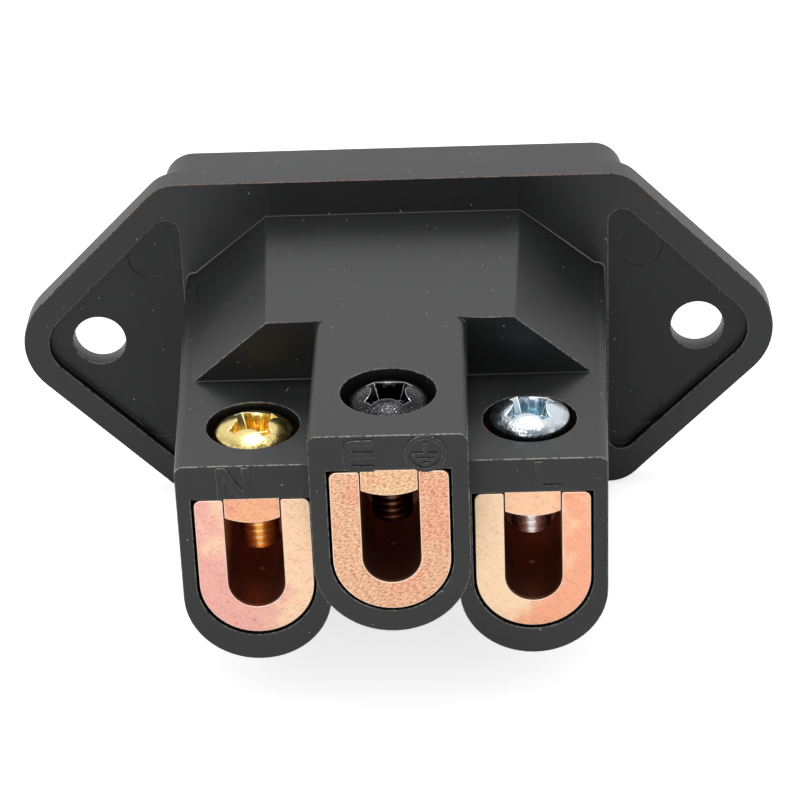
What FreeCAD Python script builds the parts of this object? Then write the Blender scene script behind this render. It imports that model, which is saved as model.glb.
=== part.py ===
import FreeCAD, Part
import math
import os
import Sketcher

# Panel inlet with three clamp-screw terminals, millimetres.
# Origin: midway between the two mounting holes, on the plane that seats on the panel.
# +X to the right seen from the terminals, +Y towards the plug, +Z towards the bevelled side.

doc = FreeCAD.newDocument("PanelSocket")
sheet = doc.addObject("Spreadsheet::Sheet", "Sizes")

SIZES = [
    # flange
    ("hole_spacing", 40.0, "between the mounting holes"),
    ("hole_radius", 1.75, "clearance hole"),
    ("tip_to_hole", 5.0, "flange tip to the centre of its hole"),
    ("tip_radius", 4.2, "rounded tip of each ear"),
    ("flange_height", 23.2, "straight top edge to straight bottom edge"),
    ("ear_thickness", 2.0, "the two ears"),
    ("corner_radius", 2.5, "obtuse corners of the flange"),
    ("rim_width", 1.7, "raised rim behind each ear"),
    ("recess_depth", 0.6, "ear recess behind the rim"),
    ("recess_gap", 0.25, "body to the ear recess"),
    ("recess_corner", 0.9, "inner corners of the ear recess"),
    ("ejector_radius", 1.5, "ejector pin marks"),
    ("ejector_depth", 0.1, "ejector pin marks"),
    ("ejector_inset", 2.1, "inner side of the recess to the marks"),
    ("ejector_drop", 4.2, "recess corner to the marks' level"),
    ("bezel_wall", 3.0, "raised face beside the plug opening"),
    ("bezel_depth", 5.3, "seat plane to bezel face"),
    ("bezel_corner", 2.0, "bezel corners"),
    ("bezel_round", 0.5, "bezel front edge"),
    # plug opening
    ("plug_width", 24.4, "plug opening"),
    ("plug_height", 16.4, "plug opening"),
    ("plug_bevel", 4.8, "the two bevelled corners"),
    ("plug_depth", 16.8, "bezel face to floor"),
    ("plug_corner", 2.2, "lower corners"),
    ("plug_bevel_corner", 0.9, "ends of the bevels"),
    ("mouth_chamfer", 0.4, "lead-in round the mouth"),
    # pins
    ("pin_spacing", 14.0, "line pin to neutral pin"),
    ("pin_rise", 2.0, "earth pin above, the others below the hole line"),
    ("pin_width", 2.0, "flat pin"),
    ("pin_height", 4.0, "flat pin"),
    ("pin_reach", 14.0, "line and neutral pins, out of the floor"),
    ("earth_pin_reach", 15.4, "the earth pin makes first"),
    ("pin_chamfer", 0.5, "pin tip"),
    ("pin_clearance", 0.05, "pin in its slot, each side"),
    # moulded body behind the flange
    ("body_wall", 1.6, "beside the plug opening, at the flange"),
    ("body_base", 1.0, "under the plug opening"),
    ("body_round", 2.2, "lower long edges"),
    ("step_web", 3.5, "plug floor to the step"),
    ("crown_inset", 0.65, "crown's side in from the body's, at the flange"),
    ("crown_inset_step", 0.88, "crown's side in from the body's, at the step"),
    ("crown_margin", 0.9, "end of the crown's flat top past the plug's bevel, at the flange"),
    ("crown_taper", 0.75, "how far the flat top narrows each side down to the step"),
    ("post_web", 4.15, "plug floor to the copper"),
    ("earth_step", 3.9, "earth terminal face past the other two"),
    ("post_pitch", 8.3, "terminal to terminal across"),
    ("post_wall", 0.86, "outside the copper of the line and neutral posts"),
    ("earth_wall", 1.01, "each side of the earth copper"),
    ("post_cover", 2.4, "plastic over the copper"),
    ("post_floor", 1.9, "plastic under the line and neutral copper"),
    ("earth_floor", 1.6, "plastic under the earth copper"),
    ("edge_round", 0.55, "long upper edges of the posts"),
    ("crown_round", 0.35, "edges of the bevelled crown"),
    # copper contact
    ("wire_slot", 3.42, "between the arms of the U"),
    ("contact_wall", 1.73, "arm thickness"),
    ("contact_height", 9.3, "height of the U"),
    ("contact_floor", 1.8, "thickness under the wire slot"),
    ("contact_length", 9.6, "U, front to back"),
    ("contact_back", 1.6, "solid back of the U"),
    ("contact_above_pin", 4.8, "top of the arms above the pin centre"),
    ("contact_gap", 0.15, "copper to plastic"),
    ("contact_setback", 0.1, "copper behind the terminal face"),
    ("arm_round", 0.45, "outer top corners of the arms"),
    ("arm_inner_round", 0.15, "inner top corners of the arms"),
    # threaded bridge between the arms
    ("bridge_gap", 0.06, "bridge to arm, each side"),
    ("bridge_side", 1.35, "height at its sides"),
    ("bridge_belly", 0.35, "how far its underside bulges"),
    ("bridge_proud", 0.1, "bridge above the arms"),
    # clamp screw
    ("screw_setback", 4.8, "line and neutral screw axis behind the terminal face"),
    ("earth_screw_setback", 5.25, "earth screw axis behind its terminal face"),
    ("screw_radius", 1.22, "thread, M2.5"),
    ("screw_play", 0.03, "screw in the bridge, radial"),
    ("screw_length", 6.6, "under the head"),
    ("screw_point", 0.3, "chamfer at the screw end"),
    ("head_radius", 2.4, "pan head"),
    ("head_height", 2.0, "pan head"),
    ("head_dome", 4.0, "radius of its domed top"),
    ("head_edge", 0.3, "rounding between the dome and the side"),
    ("drive_depth", 1.4, "cross recess"),
    ("drive_arm", 0.6, "width of its arms"),
    ("drive_reach", 1.72, "centre to an arm's end, at the top"),
    ("drive_reach_foot", 1.15, "the same at the bottom"),
    ("drive_waist", 1.0, "centre to the bulges between the arms, at the top"),
    ("drive_waist_foot", 0.82, "the same at the bottom"),
    ("head_clearance", 0.42, "head in its well, radial"),
    ("crown_neutral", 0.43, "head above the post, as found"),
    ("crown_earth", 0.2, "head above the post, as found"),
    ("crown_line", 1.04, "head above the post, as found"),
]

for row, (alias, size, note) in enumerate(SIZES, 1):
    sheet.set("A%d" % row, note)
    sheet.set("B%d" % row, str(size))
    sheet.setAlias("B%d" % row, alias)
doc.recompute()


def value(expression):
    """The number that an expression on the sheet gives."""
    return float(sheet.evalExpression(expression))


def named(text):
    """An expression with the sheet's name put before each alias."""
    words = {alias for alias, size, note in SIZES}
    out, word = "", ""
    for letter in text + " ":
        if letter.isalnum() or letter == "_":
            word += letter
            continue
        out += ("Sizes." + word if word in words else word) + letter
        word = ""
    return out.strip()


def newBody(label):
    body = doc.addObject("PartDesign::Body", label)
    body.Label = label
    return body


def originPart(body, role):
    return next(part for part in body.Origin.OriginFeatures if part.Role == role)


def newSketch(body, name, plane, offset=None):
    """A sketch on an origin plane; XZ sketches face the terminals, so an offset moves them to -Y."""
    sketch = body.newObject("Sketcher::SketchObject", name)
    sketch.AttachmentSupport = [(originPart(body, plane), "")]
    sketch.MapMode = "FlatFace"
    if offset:
        sketch.setExpression("AttachmentOffset.Base.z", named(offset))
    return sketch


def bind(sketch, kind, *arguments):
    """A driving constraint whose last argument is an expression."""
    expression = named(arguments[-1])
    index = sketch.addConstraint(Sketcher.Constraint(kind, *arguments[:-1], value(expression)))
    sketch.setExpression("Constraints[%d]" % index, expression)


def placeAcross(sketch, geometry, point, expression):
    if expression == "0":
        sketch.addConstraint(Sketcher.Constraint("PointOnObject", geometry, point, -2))
    else:
        bind(sketch, "DistanceX", -1, 1, geometry, point, expression)


def placeUp(sketch, geometry, point, expression):
    if expression == "0":
        sketch.addConstraint(Sketcher.Constraint("PointOnObject", geometry, point, -1))
    else:
        bind(sketch, "DistanceY", -1, 1, geometry, point, expression)


def spot(across, up):
    return FreeCAD.Vector(value(named(across)), value(named(up)), 0)


def joinEnds(sketch, first, last):
    """The geometry from first to last, end to start, closed."""
    for geometry in range(first, last + 1):
        following = first if geometry == last else geometry + 1
        sketch.addConstraint(Sketcher.Constraint("Coincident", geometry, 2, following, 1))


def cornerTurn(before, corner, after):
    into, out = (corner - before).normalize(), (after - corner).normalize()
    return math.acos(max(-1.0, min(1.0, into.dot(out))))


def roundCorner(sketch, before, corner, after, radius):
    """The arc that rounds a corner of an outline drawn anticlockwise."""
    into = (corner - before).normalize()
    turn = cornerTurn(before, corner, after)
    start = corner - into * (radius * math.tan(turn / 2))
    centre = start + FreeCAD.Vector(-into.y, into.x, 0) * radius
    angle = math.atan2(start.y - centre.y, start.x - centre.x)
    bow = Part.Circle(centre, FreeCAD.Vector(0, 0, 1), radius)
    return sketch.addGeometry(Part.ArcOfCircle(bow, angle, angle + turn), False)


def outline(sketch, corners):
    """A closed convex outline, anticlockwise; each corner is across, up and its radius or None."""
    count = len(corners)
    spots = [spot(across, up) for across, up, radius in corners]
    radii = [value(named(radius or "0")) for across, up, radius in corners]
    following = [(number + 1) % count for number in range(count)]
    turns = [cornerTurn(spots[number - 1], spots[number], spots[following[number]])
             for number in range(count)]
    cuts = [radius * math.tan(turn / 2) for radius, turn in zip(radii, turns)]
    lines = []
    for number in range(count):
        start, end = spots[number], spots[following[number]]
        along = (end - start).normalize()
        edge = Part.LineSegment(start + along * cuts[number], end - along * cuts[following[number]])
        lines.append(sketch.addGeometry(edge, False))
    for number, (across, up, radius) in enumerate(corners):
        before, line = lines[number - 1], lines[number]
        if not radius:
            sketch.addConstraint(Sketcher.Constraint("Coincident", before, 2, line, 1))
            placeAcross(sketch, line, 1, across)
            placeUp(sketch, line, 1, up)
            continue
        after = spots[following[number]]
        arc = roundCorner(sketch, spots[number - 1], spots[number], after, radii[number])
        mark = sketch.addGeometry(Part.Point(spots[number]), True)
        placeAcross(sketch, mark, 1, across)
        placeUp(sketch, mark, 1, up)
        sketch.addConstraint(Sketcher.Constraint("PointOnObject", mark, 1, before))
        sketch.addConstraint(Sketcher.Constraint("PointOnObject", mark, 1, line))
        sketch.addConstraint(Sketcher.Constraint("Tangent", before, 2, arc, 1))
        sketch.addConstraint(Sketcher.Constraint("Tangent", arc, 2, line, 1))
        bind(sketch, "Radius", arc, radius)


def mirrored(rightCorners):
    """The right half's corners from bottom to top, and their mirror images."""
    left = [("-(%s)" % across, up, radius) for across, up, radius in reversed(rightCorners)]
    return rightCorners + left


def circle(sketch, across, up, radius):
    centre = FreeCAD.Vector(value(named(across)), value(named(up)), 0)
    size = value(named(radius))
    geometry = sketch.addGeometry(Part.Circle(centre, FreeCAD.Vector(0, 0, 1), size), False)
    placeAcross(sketch, geometry, 3, across)
    placeUp(sketch, geometry, 3, up)
    bind(sketch, "Radius", geometry, radius)


def tongue(sketch, left, right, top, bottom, leftRound=None, rightRound=None):
    """Flat top, straight sides and a half-round bottom; the upper corners may be rounded."""
    half = "((%s) - (%s)) / 2" % (right, left)
    middle = "(%s) + %s" % (bottom, half)
    leftCut = value(named(leftRound or "0"))
    rightCut = value(named(rightRound or "0"))
    leftTop, rightTop = spot(left, top), spot(right, top)
    inward, down = FreeCAD.Vector(1, 0, 0), FreeCAD.Vector(0, -1, 0)
    centre = spot("((%s) + (%s)) / 2" % (right, left), middle)
    bow = Part.Circle(centre, FreeCAD.Vector(0, 0, 1), value(named(half)))
    lid = Part.LineSegment(rightTop - inward * rightCut, leftTop + inward * leftCut)
    chain = [sketch.addGeometry(lid, False)]
    if leftRound:
        chain.append(roundCorner(sketch, rightTop, leftTop, spot(left, middle), leftCut))
        bind(sketch, "Radius", chain[-1], leftRound)
    side = Part.LineSegment(leftTop + down * leftCut, spot(left, middle))
    leftSide = sketch.addGeometry(side, False)
    chain.append(leftSide)
    bottomArc = sketch.addGeometry(Part.ArcOfCircle(bow, math.pi, 2 * math.pi), False)
    chain.append(bottomArc)
    side = Part.LineSegment(spot(right, middle), rightTop + down * rightCut)
    rightSide = sketch.addGeometry(side, False)
    chain.append(rightSide)
    if rightRound:
        chain.append(roundCorner(sketch, spot(right, middle), rightTop, leftTop, rightCut))
        bind(sketch, "Radius", chain[-1], rightRound)
    arcs = [item for item in chain if item not in (chain[0], leftSide, rightSide)]
    for number, item in enumerate(chain):
        following = chain[(number + 1) % len(chain)]
        kind = "Tangent" if item in arcs or following in arcs else "Coincident"
        sketch.addConstraint(Sketcher.Constraint(kind, item, 2, following, 1))
    sketch.addConstraint(Sketcher.Constraint("Horizontal", chain[0]))
    sketch.addConstraint(Sketcher.Constraint("Vertical", leftSide))
    sketch.addConstraint(Sketcher.Constraint("Vertical", rightSide))
    placeAcross(sketch, rightSide, 2, right)
    placeAcross(sketch, leftSide, 1, left)
    placeUp(sketch, chain[0], 1, top)
    placeUp(sketch, bottomArc, 3, middle)


def pad(body, sketch, name, length, reverse=False):
    feature = body.newObject("PartDesign::Pad", name)
    feature.Profile = sketch
    feature.setExpression("Length", named(length))
    feature.Reversed = reverse
    return feature


def pocket(body, sketch, name, length, reverse=False):
    """A pocket that has to take material away."""
    doc.recompute()
    before = body.Shape.Volume
    feature = body.newObject("PartDesign::Pocket", name)
    feature.Profile = sketch
    feature.setExpression("Length", named(length))
    feature.Reversed = reverse
    doc.recompute()
    if body.Shape.Volume >= before:
        raise RuntimeError("%s cuts nothing" % name)
    return feature


def loft(body, name, first, last, kind="AdditiveLoft"):
    feature = body.newObject("PartDesign::" + kind, name)
    feature.Profile = first
    feature.Sections = [last]
    feature.Ruled = True
    return feature


def edgeNames(feature, wanted):
    return ["Edge%d" % number for number, edge in enumerate(feature.Shape.Edges, 1) if wanted(edge)]


def dressEdges(body, kind, name, size, wanted):
    """A Fillet or a Chamfer on the tip's edges that the test picks."""
    doc.recompute()
    base = body.Tip
    names = edgeNames(base, wanted)
    if not names:
        raise RuntimeError("%s finds no edge" % name)
    feature = body.newObject("PartDesign::" + kind, name)
    feature.Base = (base, names)
    feature.setExpression({"Fillet": "Radius", "Chamfer": "Size"}[kind], named(size))
    doc.recompute()
    return feature


def near(first, second, slack=0.02):
    return abs(first - second) < slack


def inPlane(edge, depth):
    """Whether a flat edge lies right across Y at a depth."""
    return near(edge.CenterOfMass.y, depth) and near(edge.BoundBox.YLength, 0)


# Levels and places that several pieces share, as expressions on the sheet.
TIP = "(hole_spacing / 2 + tip_to_hole + tip_radius * (sqrt(2) - 1))"
SHOULDER = "(%s - flange_height / 2)" % TIP
FLOOR = "(plug_depth - bezel_depth)"
STEP_DEPTH = "(%s + step_web)" % FLOOR
POST_DEPTH = "(%s + post_web + contact_length + contact_setback)" % FLOOR
EARTH_DEPTH = "(%s + earth_step)" % POST_DEPTH
CONTACT_HALF = "(wire_slot / 2 + contact_wall)"
ROOT_HALF = "(plug_width / 2 + body_wall)"
FACE_HALF = "(post_pitch + %s + contact_gap + post_wall)" % CONTACT_HALF
EARTH_HALF = "(%s + contact_gap + earth_wall)" % CONTACT_HALF
CROWN_FLAT = "(plug_width / 2 - plug_bevel + crown_margin)"

# "turned" is how far each screw was left from its recess's arms lying at 45 degrees.
TERMINALS = {
    "neutral": {"side": -1, "level": "-pin_rise", "depth": POST_DEPTH, "reach": "pin_reach",
                "floor": "post_floor", "setback": "screw_setback", "turned": -8},
    "earth": {"side": 0, "level": "pin_rise", "depth": EARTH_DEPTH, "reach": "earth_pin_reach",
              "floor": "earth_floor", "setback": "earth_screw_setback", "turned": -2},
    "line": {"side": 1, "level": "-pin_rise", "depth": POST_DEPTH, "reach": "pin_reach",
             "floor": "post_floor", "setback": "screw_setback", "turned": -8},
}


def across(terminal):
    return {-1: "-post_pitch", 0: "0", 1: "post_pitch"}[terminal["side"]]


def pinAcross(terminal):
    return {-1: "-pin_spacing / 2", 0: "0", 1: "pin_spacing / 2"}[terminal["side"]]


def copperTop(terminal):
    return "(%s) + contact_above_pin" % terminal["level"]


def copperBottom(terminal):
    return "%s - contact_height" % copperTop(terminal)


def ceiling(terminal):
    """Plastic right above the copper, where the bridge bears."""
    return "%s + bridge_proud" % copperTop(terminal)


def postTop(terminal):
    return "%s + post_cover" % copperTop(terminal)


def postBottom(terminal):
    return "%s - %s" % (copperBottom(terminal), terminal["floor"])


SIDE_TOP = postTop(TERMINALS["line"])
EARTH_TOP = postTop(TERMINALS["earth"])


def bodySide(depth):
    """Half width of the tapering body at a distance behind the seat plane."""
    return "(%s + (%s - %s) * (%s) / %s)" % (ROOT_HALF, FACE_HALF, ROOT_HALF, depth, POST_DEPTH)


def makeCore(body):
    """The tapering block behind the flange and the bevelled crown on it."""
    under = "-(plug_height / 2 + body_base)"
    ends = []
    for part, depth in (("CoreRoot", "0"), ("CoreStep", STEP_DEPTH)):
        sketch = newSketch(body, part, "XZ_Plane", depth)
        side = bodySide(depth)
        outline(sketch, mirrored([(side, under, "body_round"), (side, SIDE_TOP, "edge_round")]))
        ends.append(sketch)
    loft(body, "Core", *ends)
    ends = []
    for part, depth, inset, flat in (
            ("CrownRoot", "0", "crown_inset", CROWN_FLAT),
            ("CrownStep", STEP_DEPTH, "crown_inset_step", "%s - crown_taper" % CROWN_FLAT)):
        sketch = newSketch(body, part, "XZ_Plane", depth)
        half = "%s - %s" % (bodySide(depth), inset)
        corners = [(half, "-pin_rise", None), (half, SIDE_TOP, None), (flat, EARTH_TOP, "crown_round")]
        outline(sketch, mirrored(corners))
        ends.append(sketch)
    loft(body, "Crown", *ends)


def makePosts(body):
    """Three terminal posts, flat on top and half round below."""
    line = TERMINALS["line"]
    inner = "(2 * post_pitch - %s)" % FACE_HALF
    under = postBottom(line)
    for name, sign in (("Neutral", "-"), ("Line", "")):
        ends = []
        for part, depth in (("Root", "0"), ("Face", POST_DEPTH)):
            sketch = newSketch(body, name + "Post" + part, "XZ_Plane", depth)
            outer = bodySide(depth)
            if sign:
                tongue(sketch, "-" + outer, "-" + inner, SIDE_TOP, under, leftRound="edge_round")
            else:
                tongue(sketch, inner, outer, SIDE_TOP, under, rightRound="edge_round")
            ends.append(sketch)
        loft(body, name + "Post", *ends)
    earth = TERMINALS["earth"]
    sketch = newSketch(body, "EarthPostOutline", "XZ_Plane")
    tongue(sketch, "-" + EARTH_HALF, EARTH_HALF, EARTH_TOP, postBottom(earth),
           "edge_round", "edge_round")
    pad(body, sketch, "EarthPost", EARTH_DEPTH)


def makeFlange(body):
    """Elongated six-sided flange with the raised bezel on the plug side."""
    sketch = newSketch(body, "FlangeOutline", "XZ_Plane")
    half = "flange_height / 2"
    outline(sketch, [(SHOULDER, "-" + half, "corner_radius"), (TIP, "0", "tip_radius"),
                     (SHOULDER, half, "corner_radius"), ("-" + SHOULDER, half, "corner_radius"),
                     ("-" + TIP, "0", "tip_radius"), ("-" + SHOULDER, "-" + half, "corner_radius")])
    pad(body, sketch, "Flange", "ear_thickness", reverse=True)
    sketch = newSketch(body, "BezelOutline", "XZ_Plane")
    side = "plug_width / 2 + bezel_wall"
    outline(sketch, mirrored([(side, "-" + half, "bezel_corner"), (side, half, "bezel_corner")]))
    pad(body, sketch, "Bezel", "bezel_depth", reverse=True)
    doc.recompute()
    face = value("Sizes.bezel_depth")
    dressEdges(body, "Fillet", "BezelRound", "bezel_round", lambda edge: inPlane(edge, face))


def makeEarDetails(body):
    """Mounting holes, the recess behind each ear and its ejector marks."""
    sketch = newSketch(body, "HoleCentres", "XZ_Plane")
    for sign in ("", "-"):
        circle(sketch, sign + "hole_spacing / 2", "0", "hole_radius")
    pocket(body, sketch, "MountingHoles", "ear_thickness")
    reach = "(%s - rim_width * sqrt(2))" % TIP
    inner = "(%s + recess_gap)" % ROOT_HALF
    up = "(%s - %s)" % (reach, inner)
    corners = [(inner, "-" + up, "recess_corner"), (reach, "0", "tip_radius - rim_width"),
               (inner, up, "recess_corner")]
    sketch = newSketch(body, "RightRecess", "XZ_Plane")
    outline(sketch, corners)
    pocket(body, sketch, "RightEarRecess", "recess_depth")
    sketch = newSketch(body, "LeftRecess", "XZ_Plane")
    outline(sketch, [("-" + place, level, radius) for place, level, radius in reversed(corners)])
    pocket(body, sketch, "LeftEarRecess", "recess_depth")
    sketch = newSketch(body, "EjectorMarks", "XZ_Plane", "-recess_depth")
    for side in ("", "-"):
        for level in ("", "-"):
            circle(sketch, "%s(%s + ejector_inset)" % (side, inner),
                   "%s(%s - ejector_drop)" % (level, up), "ejector_radius")
    pocket(body, sketch, "Ejectors", "ejector_depth")


def makePlugOpening(body):
    """The opening that takes the plug, bevelled at its two upper corners."""
    sketch = newSketch(body, "PlugOutline", "XZ_Plane", "-bezel_depth")
    half, up = "plug_width / 2", "plug_height / 2"
    outline(sketch, mirrored([(half, "-" + up, "plug_corner"),
                              (half, "%s - plug_bevel" % up, "plug_bevel_corner"),
                              ("%s - plug_bevel" % half, up, "plug_bevel_corner")]))
    pocket(body, sketch, "PlugOpening", "plug_depth", reverse=True)
    side = value(named("(plug_width + bezel_wall) / 2"))
    top = value("(Sizes.plug_height + Sizes.flange_height) / 4")
    face = value("Sizes.bezel_depth")

    def mouth(edge):
        middle = edge.CenterOfMass
        return inPlane(edge, face) and abs(middle.x) < side and abs(middle.z) < top

    dressEdges(body, "Chamfer", "MouthChamfer", "mouth_chamfer", mouth)


def makeTerminalCavities(body):
    """In each post the copper's cavity, the pin's slot and the screw well."""
    for name, terminal in TERMINALS.items():
        middle, title = across(terminal), name.capitalize()
        wide = "(%s + contact_gap)" % CONTACT_HALF
        sketch = newSketch(body, title + "CavityOutline", "XZ_Plane", terminal["depth"])
        tongue(sketch, "%s - %s" % (middle, wide), "%s + %s" % (middle, wide), ceiling(terminal),
               "%s - contact_gap" % copperBottom(terminal))
        pocket(body, sketch, title + "Cavity", "contact_length + contact_setback")
        back = "%s - contact_length - contact_setback" % terminal["depth"]
        sketch = newSketch(body, title + "SlotOutline", "XZ_Plane", back)
        pinOutline(sketch, pinAcross(terminal), terminal["level"], "pin_clearance")
        pocket(body, sketch, title + "Slot", "%s - %s" % (back, FLOOR))
        sketch = newSketch(body, title + "WellOutline", "XY_Plane", postTop(terminal))
        circle(sketch, middle, "%s - %s" % (terminal["setback"], terminal["depth"]),
               "head_radius + head_clearance")
        pocket(body, sketch, title + "Well", "post_cover")


def pinOutline(sketch, middle, level, clearance):
    """A flat pin's section, or its slot's with a clearance all round."""
    half, tall = "(pin_width / 2 + %s)" % clearance, "(pin_height / 2 + %s)" % clearance
    left, right = "%s - %s" % (middle, half), "%s + %s" % (middle, half)
    low, high = "%s - %s" % (level, tall), "%s + %s" % (level, tall)
    outline(sketch, [(right, low, None), (right, high, None), (left, high, None), (left, low, None)])


def makeHousing():
    body = newBody("housing")
    makeCore(body)
    makePosts(body)
    makeFlange(body)
    makeEarDetails(body)
    makePlugOpening(body)
    makeTerminalCavities(body)
    return body


def placeBody(body, x, y, z):
    """Puts a piece, modelled round its own origin, at its place in the part."""
    for axis, expression in (("x", x), ("y", y), ("z", z)):
        body.setExpression("Placement.Base." + axis, named(expression))


def makeContact(name, terminal):
    """U-shaped wire clamp and flat pin in one copper piece; its origin is the top of the U's face."""
    body = newBody("contact_" + name)
    title = name.capitalize()
    sketch = newSketch(body, title + "UOutline", "XZ_Plane")
    tongue(sketch, "-" + CONTACT_HALF, CONTACT_HALF, "0", "-contact_height")
    pad(body, sketch, title + "U", "contact_length", reverse=True)
    sketch = newSketch(body, title + "WireOutline", "XZ_Plane")
    tongue(sketch, "-wire_slot / 2", "wire_slot / 2", "contact_floor",
           "contact_floor - contact_height")
    pocket(body, sketch, title + "WireSlot", "contact_length - contact_back")
    half = value(named(CONTACT_HALF))
    slotHalf = value("Sizes.wire_slot / 2")

    def armCorner(edge, place):
        box, middle = edge.BoundBox, edge.CenterOfMass
        straight = near(box.XLength, 0) and near(box.ZLength, 0)
        return straight and near(middle.z, 0) and near(abs(middle.x), place)

    dressEdges(body, "Fillet", title + "ArmRound", "arm_round", lambda edge: armCorner(edge, half))
    dressEdges(body, "Fillet", title + "ArmInnerRound", "arm_inner_round",
               lambda edge: armCorner(edge, slotHalf))
    sketch = newSketch(body, title + "PinOutline", "XZ_Plane", "-contact_length")
    shift = "%s - (%s)" % (pinAcross(terminal), across(terminal))
    pinOutline(sketch, shift, "-contact_above_pin", "0")
    back = "%s - contact_length - contact_setback" % terminal["depth"]
    length = "%s - %s + %s" % (back, FLOOR, terminal["reach"])
    pad(body, sketch, title + "Pin", length, reverse=True)
    tip = value(named("contact_length + %s" % length))
    dressEdges(body, "Chamfer", title + "PinTip", "pin_chamfer", lambda edge: inPlane(edge, tip))
    placeBody(body, across(terminal), "contact_setback - %s" % terminal["depth"], copperTop(terminal))
    return body


def makeBridge(name, terminal):
    """Threaded copper bridge between the arms; it bears on the plastic above."""
    body = newBody("bridge_" + name)
    title = name.capitalize()
    half = "(wire_slot / 2 - bridge_gap)"
    sketch = newSketch(body, title + "BridgeOutline", "XZ_Plane")
    corners = [spot(half, "0"), spot("-" + half, "0"), spot("-" + half, "-bridge_side"),
               spot(half, "-bridge_side")]
    belly = FreeCAD.Vector(0, -value(named("bridge_side + bridge_belly")), 0)
    sketch.addGeometry(Part.LineSegment(corners[0], corners[1]), False)
    sketch.addGeometry(Part.LineSegment(corners[1], corners[2]), False)
    sketch.addGeometry(Part.Arc(corners[2], belly, corners[3]), False)
    sketch.addGeometry(Part.LineSegment(corners[3], corners[0]), False)
    joinEnds(sketch, 0, 3)
    sketch.addConstraint(Sketcher.Constraint("Horizontal", 0))
    sketch.addConstraint(Sketcher.Constraint("Vertical", 1))
    sketch.addConstraint(Sketcher.Constraint("Vertical", 3))
    placeAcross(sketch, 0, 1, half)
    placeAcross(sketch, 0, 2, "-" + half)
    placeUp(sketch, 0, 1, "0")
    placeUp(sketch, 2, 1, "-bridge_side")
    placeUp(sketch, 2, 2, "-bridge_side")
    bind(sketch, "Radius", 2, "(%s * %s / bridge_belly + bridge_belly) / 2" % (half, half))
    pad(body, sketch, title + "Bridge", "contact_length - contact_back", reverse=True)
    sketch = newSketch(body, title + "ThreadOutline", "XY_Plane")
    circle(sketch, "0", "%s - contact_setback" % terminal["setback"], "screw_radius + screw_play")
    pocket(body, sketch, title + "ThreadHole", "bridge_side + bridge_belly")
    placeBody(body, across(terminal), "contact_setback - %s" % terminal["depth"], ceiling(terminal))
    return body


def makeScrew(name, terminal):
    """Pan-head clamp screw with a cross recess; its origin is the middle under the head."""
    body = newBody("screw_" + name)
    title = name.capitalize()
    sketch = newSketch(body, title + "ScrewProfile", "XZ_Plane")
    drop = "(head_dome - sqrt(head_dome * head_dome - head_radius * head_radius))"
    corners = [("0", "-screw_length"), ("screw_radius - screw_point", "-screw_length"),
               ("screw_radius", "screw_point - screw_length"), ("screw_radius", "0"),
               ("head_radius", "0"), ("head_radius", "head_height - %s" % drop)]
    spots = [spot(*corner) for corner in corners]
    top = spot("0", "head_height")
    for start, end in zip(spots, spots[1:]):
        sketch.addGeometry(Part.LineSegment(start, end), False)
    radius = value("Sizes.head_dome")
    dome = Part.Circle(FreeCAD.Vector(0, top.y - radius, 0), FreeCAD.Vector(0, 0, 1), radius)
    rim = math.acos(spots[-1].x / radius)
    arc = sketch.addGeometry(Part.ArcOfCircle(dome, rim, math.pi / 2), False)
    axis = sketch.addGeometry(Part.LineSegment(top, spots[0]), False)
    joinEnds(sketch, 0, axis)
    for number, corner in enumerate(corners):
        placeAcross(sketch, number, 1, corner[0])
        placeUp(sketch, number, 1, corner[1])
    placeAcross(sketch, arc, 3, "0")
    placeAcross(sketch, arc, 2, "0")
    placeUp(sketch, arc, 2, "head_height")
    turned = body.newObject("PartDesign::Revolution", title + "Turned")
    turned.Profile = sketch
    turned.ReferenceAxis = (sketch, ["V_Axis"])
    turned.Angle = 360
    side = value("Sizes.head_radius")
    shoulder = value(named("head_height - %s" % drop))
    dressEdges(body, "Fillet", title + "HeadEdge", "head_edge",
               lambda edge: near(edge.BoundBox.XMax, side) and near(edge.BoundBox.ZMin, shoulder))
    mouth = newSketch(body, title + "DriveMouth", "XY_Plane", "head_height")
    crossRecess(mouth, "drive_reach", "drive_waist", terminal["turned"])
    foot = newSketch(body, title + "DriveFoot", "XY_Plane", "head_height - drive_depth")
    crossRecess(foot, "drive_reach_foot", "drive_waist_foot", terminal["turned"])
    doc.recompute()
    before = body.Shape.Volume
    loft(body, title + "Drive", mouth, foot, "SubtractiveLoft")
    doc.recompute()
    if body.Shape.Volume >= before:
        raise RuntimeError("%s's drive cuts nothing" % name)
    placeBody(body, across(terminal), "%s - %s" % (terminal["setback"], terminal["depth"]),
              "%s + crown_%s - head_height" % (postTop(terminal), name))
    return body


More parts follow.
